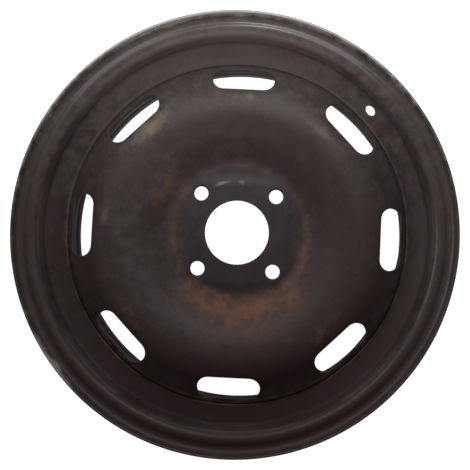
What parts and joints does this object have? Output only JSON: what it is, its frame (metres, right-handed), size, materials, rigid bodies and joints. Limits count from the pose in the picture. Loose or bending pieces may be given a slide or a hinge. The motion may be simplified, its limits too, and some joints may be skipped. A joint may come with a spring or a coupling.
{
  "type": "steel wheel rim",
  "caption": "Pressed steel road wheel: drop-centre rim with rolled flanges, welded domed disc with ventilation slots, centre bore and bolt holes.",
  "frame": {"origin": "on the wheel axis, in the plane of the face that seats on the hub", "axes": "+Z along the wheel axis, out of the wheel's outer face; +X through the middle of a ventilation slot; the valve hole lies at 45 degrees from +X towards +Y"},
  "size_m": [0.4148, 0.4146, 0.1764],
  "materials": {
    "rim_paint": "worn satin black-brown paint",
    "disc_paint": "worn satin black-brown paint with rust in the bowl",
    "weld_paint": "painted weld bead with rust"
  },
  "bodies": {
    "root": {"rim": "rim_paint", "disc": "disc_paint", "welds": "weld_paint"}
  },
  "joints": []
}
